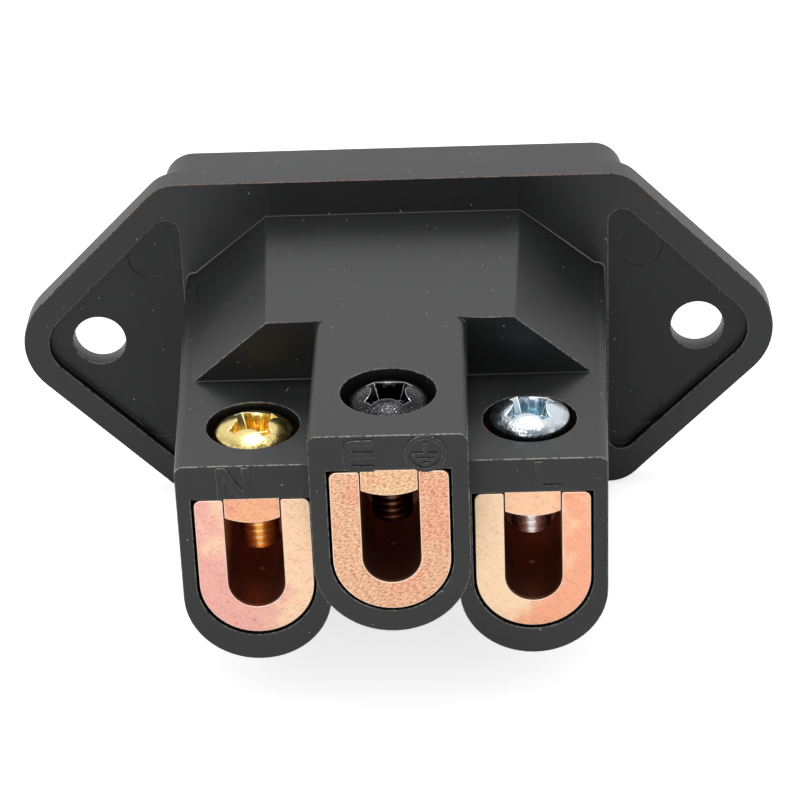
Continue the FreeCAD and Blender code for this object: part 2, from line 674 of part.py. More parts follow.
def crossRecess(sketch, reach, waist, turned):
    """Four flat-ended arms at 45 degrees, joined by arcs that bulge towards the middle."""
    arms = [turned + 45 + 90 * number for number in range(4)]
    halfArm = "drive_arm / 2"
    chord = "((%s - %s) / sqrt(2))" % (reach, halfArm)
    sag = "((%s + %s) / sqrt(2) - %s)" % (reach, halfArm, waist)
    bulge = "(%s * %s / %s + %s) / 2" % (chord, chord, sag, sag)
    ends = []
    for angle in arms:
        for side in ("-", "+"):
            opposite = "+" if side == "-" else "-"
            ends.append(("%s * cos(%d) %s %s * sin(%d)" % (reach, angle, opposite, halfArm, angle),
                         "%s * sin(%d) %s %s * cos(%d)" % (reach, angle, side, halfArm, angle)))
    for number in range(4):
        first, second = ends[2 * number], ends[2 * number + 1]
        sketch.addGeometry(Part.LineSegment(spot(*first), spot(*second)), False)
        placeAcross(sketch, number, 1, first[0])
        placeUp(sketch, number, 1, first[1])
        placeAcross(sketch, number, 2, second[0])
        placeUp(sketch, number, 2, second[1])
    radius = value(named(bulge))
    spread = math.asin(value(named(chord)) / radius)
    away = value(named(waist)) + radius
    for number in range(4):
        middle = math.radians(arms[number] + 45)
        centre = FreeCAD.Vector(away * math.cos(middle), away * math.sin(middle), 0)
        bow = Part.Circle(centre, FreeCAD.Vector(0, 0, 1), radius)
        arc = Part.ArcOfCircle(bow, middle + math.pi - spread, middle + math.pi + spread)
        bulgeArc = sketch.addGeometry(arc, False)
        sketch.addConstraint(Sketcher.Constraint("Coincident", bulgeArc, 2, number, 2))
        sketch.addConstraint(Sketcher.Constraint("Coincident", bulgeArc, 1, (number + 1) % 4, 1))
        bind(sketch, "Radius", bulgeArc, bulge)


pieces = [makeHousing()]
for name, terminal in TERMINALS.items():
    pieces.append(makeContact(name, terminal))
    pieces.append(makeBridge(name, terminal))
    pieces.append(makeScrew(name, terminal))
doc.recompute()

for item in doc.Objects:
    if "Invalid" in item.State or "Error" in item.State:
        raise RuntimeError("%s failed: %s" % (item.Name, item.State))

os.makedirs("parts", exist_ok=True)
for body in pieces:
    shape = body.Shape
    if shape.isNull() or not shape.isValid() or len(shape.Solids) != 1:
        raise RuntimeError("%s is not one sound solid" % body.Label)
    box = shape.BoundBox
    print("%-16s %9.2f mm3  X %7.2f..%6.2f  Y %7.2f..%6.2f  Z %7.2f..%6.2f" % (
        body.Label, shape.Volume, box.XMin, box.XMax, box.YMin, box.YMax, box.ZMin, box.ZMax))
    shape.exportStep("parts/%s.step" % body.Label)
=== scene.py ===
from math import pi, radians

import bpy
from mathutils import Matrix, Vector


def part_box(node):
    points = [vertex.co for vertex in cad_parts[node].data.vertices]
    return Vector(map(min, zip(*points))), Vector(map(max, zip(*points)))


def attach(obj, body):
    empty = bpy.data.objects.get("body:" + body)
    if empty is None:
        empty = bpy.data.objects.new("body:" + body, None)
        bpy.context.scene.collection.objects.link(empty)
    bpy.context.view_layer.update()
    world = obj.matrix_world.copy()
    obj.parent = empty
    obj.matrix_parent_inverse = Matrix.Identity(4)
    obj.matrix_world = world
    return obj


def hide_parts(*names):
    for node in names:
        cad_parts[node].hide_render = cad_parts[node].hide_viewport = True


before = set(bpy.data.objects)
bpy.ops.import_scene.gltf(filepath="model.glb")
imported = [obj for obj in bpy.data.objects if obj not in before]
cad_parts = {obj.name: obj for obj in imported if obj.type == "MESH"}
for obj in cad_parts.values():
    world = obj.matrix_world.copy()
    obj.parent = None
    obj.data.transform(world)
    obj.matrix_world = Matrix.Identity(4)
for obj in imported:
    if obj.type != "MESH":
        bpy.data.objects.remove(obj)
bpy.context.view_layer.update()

mm = 0.001
scene = bpy.context.scene
terminals = ("neutral", "earth", "line")
# how near points merge, how flat faces join, which edges are rounded and which shade smooth
meshing = {"mergeMm": 0.002, "flatDegrees": 0.8, "sharpDegrees": 28, "smoothDegrees": 40}


def linear(hexColour):
    channels = [int(hexColour[i:i + 2], 16) / 255 for i in (1, 3, 5)]
    return [c / 12.92 if c <= 0.04045 else ((c + 0.055) / 1.055) ** 2.4 for c in channels] + [1.0]


def addNode(tree, kind, settings=None, links=None):
    node = tree.nodes.new(kind)
    for key, value in (settings or {}).items():
        if isinstance(key, int) or key in node.inputs.keys():
            node.inputs[key].default_value = value
        else:
            setattr(node, key, value)
    for key, source in (links or {}).items():
        tree.links.new(source, node.inputs[key])
    return node


def newMaterial(name):
    material = bpy.data.materials.new(name)
    material.use_nodes = True
    material.node_tree.nodes.clear()
    return material, material.node_tree


def selectOnly(piece):
    bpy.ops.object.select_all(action="DESELECT")
    piece.hide_set(False)
    piece.select_set(True)
    bpy.context.view_layer.objects.active = piece


def editWhere(piece, wanted):
    # goes into edit mode with the vertices selected that the test picks
    selectOnly(piece)
    mesh = piece.data
    for vertex in mesh.vertices:
        vertex.select = wanted(vertex.co)
    for part in list(mesh.edges) + list(mesh.polygons):
        part.select = all(mesh.vertices[v].select for v in part.vertices)
    bpy.ops.object.mode_set(mode="EDIT")
    bpy.ops.mesh.select_mode(type="VERT")


def applyTransform(piece):
    selectOnly(piece)
    bpy.ops.object.transform_apply(location=True, rotation=True, scale=True)


def applyModifier(piece, kind, **settings):
    selectOnly(piece)
    modifier = piece.modifiers.new(kind.title(), kind)
    for key, value in settings.items():
        setattr(modifier, key, value)
    bpy.ops.object.modifier_apply(modifier=modifier.name)


def combine(piece, other, operation):
    applyModifier(piece, "BOOLEAN", operation=operation, object=other, solver="EXACT")
    bpy.data.objects.remove(other)


def giveMaterials(piece, face, edge):
    piece.data.materials.clear()
    piece.data.materials.append(face)
    piece.data.materials.append(edge)


def copyOfNode(nodeName, pieceName, face, edge):
    # a merged copy of a CAD solid, with its flat faces whole again
    selectOnly(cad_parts[nodeName])
    bpy.ops.object.duplicate()
    piece = bpy.context.object
    piece.parent = None
    piece.matrix_world = Matrix.Identity(4)
    piece.name = pieceName
    piece.data.name = pieceName
    giveMaterials(piece, face, edge)
    bpy.ops.mesh.customdata_custom_splitnormals_clear()
    bpy.ops.object.mode_set(mode="EDIT")
    bpy.ops.mesh.select_all(action="SELECT")
    bpy.ops.mesh.remove_doubles(threshold=meshing["mergeMm"] * mm)
    bpy.ops.mesh.dissolve_limited(angle_limit=radians(meshing["flatDegrees"]))
    bpy.ops.mesh.normals_make_consistent(inside=False)
    bpy.ops.object.mode_set(mode="OBJECT")
    return piece


def softenEdges(piece, width, spared=lambda v: False):
    # rounds the sharp edges, apart from the spared ones; the new narrow faces take the second, edge material, which
    # shows wear and on the nylon also a painted edge highlight
    editWhere(piece, lambda v: False)
    bpy.ops.mesh.select_mode(type="EDGE")
    bpy.ops.mesh.edges_select_sharp(sharpness=radians(meshing["sharpDegrees"]))
    bpy.ops.object.mode_set(mode="OBJECT")
    for edge in piece.data.edges:
        if all(spared(piece.data.vertices[v].co) for v in edge.vertices):
            edge.select = False
    bpy.ops.object.mode_set(mode="EDIT")
    bpy.ops.mesh.bevel(offset=width, segments=2, affect="EDGES", material=1, clamp_overlap=False)
    bpy.ops.object.mode_set(mode="OBJECT")


def finishPiece(piece, body):
    selectOnly(piece)
    bpy.ops.object.shade_smooth_by_angle(angle=radians(meshing["smoothDegrees"]))
    applyModifier(piece, "WEIGHTED_NORMAL", keep_sharp=True, weight=60)
    applyTransform(piece)
    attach(piece, body)
    print("made", piece.name, len(piece.data.polygons), "faces")


# the photo's viewpoint: behind the terminals and above them, in millimetres and degrees
cameraPlace = {"location": (4.9872, -176.755, 93.9863), "rotation": (60.786, 1.958, 0.523), "lens": 135}
bpy.ops.object.camera_add(location=[v * mm for v in cameraPlace["location"]],
                          rotation=[radians(v) for v in cameraPlace["rotation"]])
camera = bpy.context.object
camera.name = "camera"
camera.data.lens = cameraPlace["lens"]
camera.data.sensor_width = 36
camera.data.clip_start = 5 * mm
camera.data.clip_end = 10
scene.camera = camera
scene.view_settings.view_transform = "Standard"

# the floor glows a little for the camera, so that it stays white beside the shadow
studio = {"floorLevel": -11.75, "floorSize": 3000, "paper": "#fbfbfb", "floorLift": 0.7, "floorLiftInMetal": 0.03,
          "worldStrength": 0.5}

# the studio is white to the camera and in reflections, and half as bright as a light
world = bpy.data.worlds.new("studioWorld")
scene.world = world
world.use_nodes = True
tree = world.node_tree
tree.nodes.clear()
path = addNode(tree, "ShaderNodeLightPath")
seen = addNode(tree, "ShaderNodeMath", {"operation": "MAXIMUM"},
               {0: path.outputs["Is Camera Ray"], 1: path.outputs["Is Glossy Ray"]})
level = addNode(tree, "ShaderNodeMapRange", {"To Min": studio["worldStrength"], "To Max": 1.0},
                {"Value": seen.outputs[0]})
sky = addNode(tree, "ShaderNodeBackground", {"Color": linear("#ffffff")}, {"Strength": level.outputs[0]})
addNode(tree, "ShaderNodeOutputWorld", None, {"Surface": sky.outputs[0]})

bpy.ops.mesh.primitive_plane_add(size=studio["floorSize"] * mm, location=(0, 0, studio["floorLevel"] * mm))
floor = bpy.context.object
floor.name = "floor"
paper, tree = newMaterial("mattWhitePaper")
path = addNode(tree, "ShaderNodeLightPath")
matt = addNode(tree, "ShaderNodeBsdfDiffuse", {"Color": linear(studio["paper"])})
lift = addNode(tree, "ShaderNodeMath", {"operation": "MULTIPLY", 1: studio["floorLift"]},
               {0: path.outputs["Is Camera Ray"]})
lift = addNode(tree, "ShaderNodeMath", {"operation": "MULTIPLY_ADD", 1: studio["floorLiftInMetal"]},
               {0: path.outputs["Is Glossy Ray"], 2: lift.outputs[0]})
glow = addNode(tree, "ShaderNodeEmission", {"Color": linear("#ffffff")}, {"Strength": lift.outputs[0]})
both = addNode(tree, "ShaderNodeAddShader", None, {0: matt.outputs[0], 1: glow.outputs[0]})
addNode(tree, "ShaderNodeOutputMaterial", None, {"Surface": both.outputs[0]})
floor.data.materials.append(paper)


def softBox(name, location, target, size, power):
    bpy.ops.object.light_add(type="AREA", location=location)
    light = bpy.context.object
    light.name = name
    light.data.shape = "RECTANGLE"
    light.data.size, light.data.size_y = size
    light.data.energy = power
    light.visible_camera = False
    light.rotation_euler = (Vector(target) - Vector(location)).to_track_quat("-Z", "Y").to_euler()


lights = {"keyBox": {"location": (-0.02, 0.04, 0.45), "target": (0, -0.015, 0), "size": (0.18, 0.13), "power": 1.0},
          "backBox": {"location": (0, 0.5, 0.3), "target": (0, 0, 0), "size": (0.6, 0.3), "power": 0.05},
          "frontBox": {"location": (-0.12, -0.55, 0.12), "target": (0, -0.015, 0), "size": (0.3, 0.2), "power": 0.75}}
for name, light in lights.items():
    softBox(name, **light)
print("stage ready")


def between(ends, low=0.0, high=1.0, unit=1):
    # a Map Range node's settings: the two values that it starts and ends at, and what it gives there
    return {"From Min": ends[0] * unit, "From Max": ends[1] * unit, "To Min": low, "To Max": high}


# places on the moulding, as middle and reach along each axis in millimetres
nylonZones = {"sideRims": {"Y": (-27.5, 2.55), "Z": (5.075, 0.225)},
              "earthRim": {"Y": (-29.45, 0.6), "Z": (9.075, 0.225)},
              "parting": {"Y": (0, 0.2), "Z": (10.6, 1.2)},
              "rear": {"Y": (0, 0.04)},
              # root: the strip that takes the painted highlight between body and flange
              "root": {"Y": (-0.065, 0.055), "X": (0, 13.9), "Z": (4.5, 5.1)}}


def inZone(tree, axes, zone):
    # gives 1 inside the place and 0 outside
    inside = None
    for axis, (middle, reach) in nylonZones[zone].items():
        near = addNode(tree, "ShaderNodeMath", {"operation": "COMPARE", 1: middle * mm, 2: reach * mm},
                       {0: axes.outputs[axis]})
        if inside:
            near = addNode(tree, "ShaderNodeMath", {"operation": "MULTIPLY"},
                           {0: inside.outputs[0], 1: near.outputs[0]})
        inside = near
    return inside.outputs[0]


def mouldedNylon(name, rubbed=0.0, shine=0.5):
    # glass-filled nylon from a spark-eroded mould: satin near-black with a fine even grain
    look = {"dark": "#0d0e0f", "light": "#151617", "cloudMm": 5, "cloudSpan": (0.3, 0.7),
            "dust": "#d8d8d2", "dustCellMm": 0.58, "dustMm": 0.034, "dustyCells": (0.66, 0.92),
            "scuffAndEdgeHighlight": "#a9a9a4", "scuffMm": 0.22, "scuffSpan": (0.4, 0.55), "rimWear": 0.6, "convexEdgeWearAndHighlight": (0.5, 0.52),
            "flash": "#6a4a3b", "root": "#76736f", "grainMm": 0.16, "grainBump": 0.3, "ior": 1.54,
            "roughness": (0.32, 0.44), "polish": 0.2, "polishHeight": (8.0, 9.3), "polishSides": (12, 7)}
    material, tree = newMaterial(name)
    place = addNode(tree, "ShaderNodeTexCoord").outputs["Object"]
    axes = addNode(tree, "ShaderNodeSeparateXYZ", None, {"Vector": place})
    cloud = addNode(tree, "ShaderNodeTexNoise", {"Scale": 1 / (look["cloudMm"] * mm), "Detail": 4.0}, {"Vector": place})
    shade = addNode(tree, "ShaderNodeValToRGB", None, {"Fac": cloud.outputs["Fac"]})
    for stop, colour, position in zip(shade.color_ramp.elements, ("dark", "light"), look["cloudSpan"]):
        stop.color = linear(look[colour])
        stop.position = position
    # one cell in a few carries a pale speck of dust, drawn larger than real so that it shows
    cells = addNode(tree, "ShaderNodeTexVoronoi", {"Scale": 1 / (look["dustCellMm"] * mm)}, {"Vector": place})
    limit = look["dustMm"] / look["dustCellMm"]
    speck = addNode(tree, "ShaderNodeMapRange", between((0.7 * limit, 1.3 * limit), 1.0, 0.0),
                    {"Value": cells.outputs["Distance"]})
    kind = addNode(tree, "ShaderNodeSeparateColor", None, {"Color": cells.outputs["Color"]})
    kept = addNode(tree, "ShaderNodeMapRange", between(look["dustyCells"]), {"Value": kind.outputs["Red"]})
    dust = addNode(tree, "ShaderNodeMath", {"operation": "MULTIPLY"}, {0: speck.outputs[0], 1: kept.outputs[0]})
    layers = [("dust", dust.outputs[0])]
    if rubbed:
        ragged = addNode(tree, "ShaderNodeTexNoise", {"Scale": 1 / (look["scuffMm"] * mm), "Detail": 3.0},
                         {"Vector": place})
        broken = addNode(tree, "ShaderNodeMapRange", between(look["scuffSpan"]), {"Value": ragged.outputs["Fac"]})
        # the posts' upper front edges are rubbed most, inner edges not at all
        rim = addNode(tree, "ShaderNodeMath", {"operation": "MAXIMUM"},
                      {0: inZone(tree, axes, "sideRims"), 1: inZone(tree, axes, "earthRim")})
        rim = addNode(tree, "ShaderNodeMath", {"operation": "MULTIPLY", 1: look["rimWear"]}, {0: rim.outputs[0]})
        # convex edges lighter by pointiness: partly wear, partly a painted edge highlight
        shape = addNode(tree, "ShaderNodeNewGeometry")
        outer = addNode(tree, "ShaderNodeMapRange", between(look["convexEdgeWearAndHighlight"], 0.0, rubbed),
                        {"Value": shape.outputs["Pointiness"]})
        amount = addNode(tree, "ShaderNodeMath", {"operation": "MAXIMUM"}, {0: rim.outputs[0], 1: outer.outputs[0]})
        wornAndHighlit = addNode(tree, "ShaderNodeMath", {"operation": "MULTIPLY"}, {0: broken.outputs[0], 1: amount.outputs[0]})
        # a trace of brownish flash where the two halves of the mould met, on the flange's upper rear rim
        flash = addNode(tree, "ShaderNodeMath", {"operation": "MULTIPLY"},
                        {0: inZone(tree, axes, "parting"), 1: broken.outputs[0]})
        layers += [("scuffAndEdgeHighlight", wornAndHighlit.outputs[0]), ("flash", flash.outputs[0])]
    # a painted highlight: a faint pale line where the body grows out of the flange, for the light that its small fillet
    # catches
    layers.append(("root", inZone(tree, axes, "root")))
    colour = shade.outputs["Color"]
    for tone, amount in layers:
        colour = addNode(tree, "ShaderNodeMix", {"data_type": "RGBA", 7: linear(look[tone])},
                         {"Factor": amount, 6: colour}).outputs[2]
    grain = addNode(tree, "ShaderNodeTexNoise", {"Scale": 1 / (look["grainMm"] * mm), "Detail": 2.0}, {"Vector": place})
    bump = addNode(tree, "ShaderNodeBump", {"Strength": look["grainBump"], "Distance": 0.02 * mm},
                   {"Height": grain.outputs["Fac"]})
    rough = addNode(tree, "ShaderNodeMapRange", between((0, 1), *look["roughness"]), {"Value": cloud.outputs["Fac"]})
    # the narrow band between crown and flange edge is polished by the mould's slide, less towards the ears
    high = addNode(tree, "ShaderNodeMapRange", between(look["polishHeight"], 0.0, look["polish"], mm),
                   {"Value": axes.outputs["Z"]})
    out = addNode(tree, "ShaderNodeMath", {"operation": "ABSOLUTE"}, {0: axes.outputs["X"]})
    inner = addNode(tree, "ShaderNodeMapRange", between(look["polishSides"], unit=mm), {"Value": out.outputs[0]})
    polish = addNode(tree, "ShaderNodeMath", {"operation": "MULTIPLY"},
                     {0: inZone(tree, axes, "rear"), 1: high.outputs[0]})
    polish = addNode(tree, "ShaderNodeMath", {"operation": "MULTIPLY"}, {0: polish.outputs[0], 1: inner.outputs[0]})
    rough = addNode(tree, "ShaderNodeMath", {"operation": "SUBTRACT"}, {0: rough.outputs[0], 1: polish.outputs[0]})
    surface = addNode(tree, "ShaderNodeBsdfPrincipled", {"IOR": look["ior"], "Specular IOR Level": shine},
                      {"Base Color": colour, "Roughness": rough.outputs[0], "Normal": bump.outputs["Normal"]})
    addNode(tree, "ShaderNodeOutputMaterial", None, {"Surface": surface.outputs[0]})
    return material


copperLooks = {
    # "towards" is the way in which the tint gains, across and up, for each millimetre from the clamp's middle
    "neutral": {"face": -25.25, "clamp": ("#e49c7c", "#ffdbb8"), "bridge": ("#c87a58", "#f8ba94"), "grainMm": 0.1,
                "speckle": (0.28, 0.46), "tint": "#f1d6ee", "middle": (-8.3, -2), "towards": (-0.1, -0.03),
                "tarnish": "#a3624a"},
    "earth": {"face": -29.15, "clamp": ("#a86a48", "#ffd2ae"), "bridge": ("#b47848", "#ffe2b8"), "grainMm": 0.11,
              "speckle": (0.33, 0.58), "tint": "#ffeef0", "middle": (0, 2), "towards": (0.03, 0.01),
              "tarnish": "#875140"},
    "line": {"face": -25.25, "clamp": ("#eaa680", "#ffdfbc"), "bridge": ("#dc946e", "#fdcfaa"), "grainMm": 0.1,
             "speckle": (0.27, 0.44), "tint": "#f9d0c9", "middle": (8.3, -2), "towards": (0.085, -0.015),
             "tarnish": "#935842"},
}
# what all copper pieces share; lengths in millimetres, those of tarnish and of the painted glint behind the sawn face
sawnLook = {"rim": "#ffe4cd", "pin": "#f2bf98", "pinFrom": -11.8, "grainTilt": -28, "grainStretch": (2.2, 1, 0.75),
            "hairMm": 0.09, "hairTilt": 38, "hairStretch": (9, 1, 0.8), "hairSpan": (0.33, 0.48), "hairShade": 0.9,
            "stainMm": 2.2, "stainSpan": (0.47, 0.68), "rimStain": 0.3, "tarnishFrom": (0.06, 0.35), "tarnished": 0.95,
            "glintBehind": 4.3, "glintBelow": 2.7, "glintSize": (0.12, 0.26), "roughness": (0.56, 0.36), "grainBump": 0.5}


def sawnCopper(name, terminal, bar, rubbed):
    # bare copper bar, sawn off and tumbled: a bright face with slanting saw grain, dull red-brown behind it
    look = dict(sawnLook, **copperLooks[terminal])
    across, up = look["middle"]
    material, tree = newMaterial(name)
    place = addNode(tree, "ShaderNodeTexCoord").outputs["Object"]
    slanted = addNode(tree, "ShaderNodeMapping", {"vector_type": "TEXTURE", "Scale": look["grainStretch"],
                      "Rotation": (0, radians(look["grainTilt"]), 0)}, {"Vector": place})
    grain = addNode(tree, "ShaderNodeTexNoise", {"Scale": 1 / (look["grainMm"] * mm), "Detail": 4.0, "Roughness": 0.65},
                    {"Vector": slanted.outputs[0]})
    shade = addNode(tree, "ShaderNodeValToRGB", None, {"Fac": grain.outputs["Fac"]})
    for stop, colour, position in zip(shade.color_ramp.elements, look[bar], look["speckle"]):
        stop.color = linear(look["rim"] if rubbed else colour)
        stop.position = position
    # hairline scratches from the tumbling, drawn wider than real
    combed = addNode(tree, "ShaderNodeMapping", {"vector_type": "TEXTURE", "Scale": look["hairStretch"],
                     "Rotation": (0, radians(look["hairTilt"]), 0)}, {"Vector": place})
    hairs = addNode(tree, "ShaderNodeTexNoise", {"Scale": 1 / (look["hairMm"] * mm), "Detail": 2.0},
                    {"Vector": combed.outputs[0]})
    shaded = addNode(tree, "ShaderNodeMapRange", between(look["hairSpan"], look["hairShade"]),
                     {"Value": hairs.outputs["Fac"]})
    shade = addNode(tree, "ShaderNodeVectorMath", {"operation": "SCALE"},
                    {0: shade.outputs["Color"], "Scale": shaded.outputs[0]})
    # heat tint, cloudy, and stronger to one side of the clamp
    cloud = addNode(tree, "ShaderNodeTexNoise", {"Scale": 1 / (look["stainMm"] * mm), "Detail": 3.0}, {"Vector": place})
    centred = addNode(tree, "ShaderNodeVectorMath", {"operation": "SUBTRACT", 1: (across * mm, 0, up * mm)}, {0: place})
    gain = addNode(tree, "ShaderNodeVectorMath", {"operation": "DOT_PRODUCT",
                   1: (look["towards"][0] / mm, 0, look["towards"][1] / mm)}, {0: centred.outputs[0]})
    stain = addNode(tree, "ShaderNodeMath", {"operation": "ADD"}, {0: cloud.outputs["Fac"], 1: gain.outputs["Value"]})
    patch = addNode(tree, "ShaderNodeMapRange", between(look["stainSpan"], 0.0, look["rimStain"] if rubbed else 1.0),
                    {"Value": stain.outputs[0]})
    colour = addNode(tree, "ShaderNodeMix", {"data_type": "RGBA", "blend_type": "MULTIPLY", 7: linear(look["tint"])},
                     {"Factor": patch.outputs[0], 6: shade.outputs[0]}).outputs[2]
    # tarnish starts just behind the sawn face and ends before the pin; a painted glint keeps one small spot under the
    # screw's tip bright
    axes = addNode(tree, "ShaderNodeSeparateXYZ", None, {"Vector": place})
    start, full = look["tarnishFrom"]
    behind = addNode(tree, "ShaderNodeMapRange", between((look["face"] + start, look["face"] + full), 0.0,
                     look["tarnished"], mm), {"Value": axes.outputs["Y"]})
    clamp = addNode(tree, "ShaderNodeMath", {"operation": "LESS_THAN", 1: look["pinFrom"] * mm}, {0: axes.outputs["Y"]})
    colour = addNode(tree, "ShaderNodeMix", {"data_type": "RGBA", 6: linear(look["pin"])},
                     {"Factor": clamp.outputs[0], 7: colour}).outputs[2]
    dull = addNode(tree, "ShaderNodeMath", {"operation": "MULTIPLY"}, {0: behind.outputs[0], 1: clamp.outputs[0]})
    reach = addNode(tree, "ShaderNodeVectorMath", {"operation": "DISTANCE", 1: (across * mm,
                    (look["face"] + look["glintBehind"]) * mm, (up - look["glintBelow"]) * mm)}, {0: place})
    paintedGlint = addNode(tree, "ShaderNodeMapRange", between(look["glintSize"], unit=mm), {"Value": reach.outputs["Value"]})
    dull = addNode(tree, "ShaderNodeMath", {"operation": "MULTIPLY"}, {0: dull.outputs[0], 1: paintedGlint.outputs[0]})
    colour = addNode(tree, "ShaderNodeMix", {"data_type": "RGBA", 7: linear(look["tarnish"])},
                     {"Factor": dull.outputs[0], 6: colour}).outputs[2]
    bump = addNode(tree, "ShaderNodeBump", {"Strength": look["grainBump"], "Distance": 0.03 * mm},
                   {"Height": grain.outputs["Fac"]})
    rough = addNode(tree, "ShaderNodeMapRange", between((0, 1), *look["roughness"]), {"Value": grain.outputs["Fac"]})
    surface = addNode(tree, "ShaderNodeBsdfPrincipled", {"Metallic": 1.0},
                      {"Base Color": colour, "Roughness": rough.outputs[0], "Normal": bump.outputs["Normal"]})
    addNode(tree, "ShaderNodeOutputMaterial", None, {"Surface": surface.outputs[0]})
    return material


screwLooks = {
    # machine-turned brass: pale gold dome, with a painted amber reflection in its recess
    "neutral": {"name": "turnedBrass", "slot": "brass", "body": "#e8d28a", "recessShading": "#ecca6e", "blotchAndDarkReflection": "#655428",
                "rubbed": "#fff3c8", "thread": "#ffd38c", "roughness": 0.17, "dents": 0.4, "crown": 0.06, "litSideShift": -0.35,
                "facets": None},
    # black-oxide steel: satin charcoal, painted black shade in its recess, grey where rubbed, with fine bright facets
    "earth": {"name": "blackOxideSteel", "slot": "black_steel", "body": "#29292a", "recessShading": "#0c0c0d",
              "blotchAndDarkReflection": "#131314", "rubbed": "#98989a", "thread": "#6a5244", "roughness": 0.17, "dents": 1.1,
              "crown": 0.3, "litSideShift": 0.0, "facets": "#77777a"},
    # blue-passivated zinc on steel: bright bluish white, with painted deeper blue shade in its recess
    "line": {"name": "bluedZincSteel", "slot": "zinc_steel", "body": "#cdd7de", "recessShading": "#a6c0cc",
             "blotchAndDarkReflection": "#333f49", "rubbed": "#fafcfd", "thread": "#f4f0f0", "roughness": 0.17, "dents": 0.8,
             "crown": 0.06, "litSideShift": 0.45, "facets": None},
}
# what all screws share; radii from the axis and heights from the top, in millimetres
screwLook = {"blotchMm": 0.55, "blotchSpan": (0.42, 0.56), "blotched": 0.75, "darkSideRadius": (1.55, 2.35),
             "facetMm": 0.11, "facetSpan": (0.6, 0.68), "recessRadius": (1.85, 1.75), "recessWall": (-0.3, -0.9),
             "recessFloor": -1.6, "dentMm": 0.16, "skirtRadius": (1.3, 2.1), "shank": (-2.2, -2.5),
             "shankRoughness": 0.04}


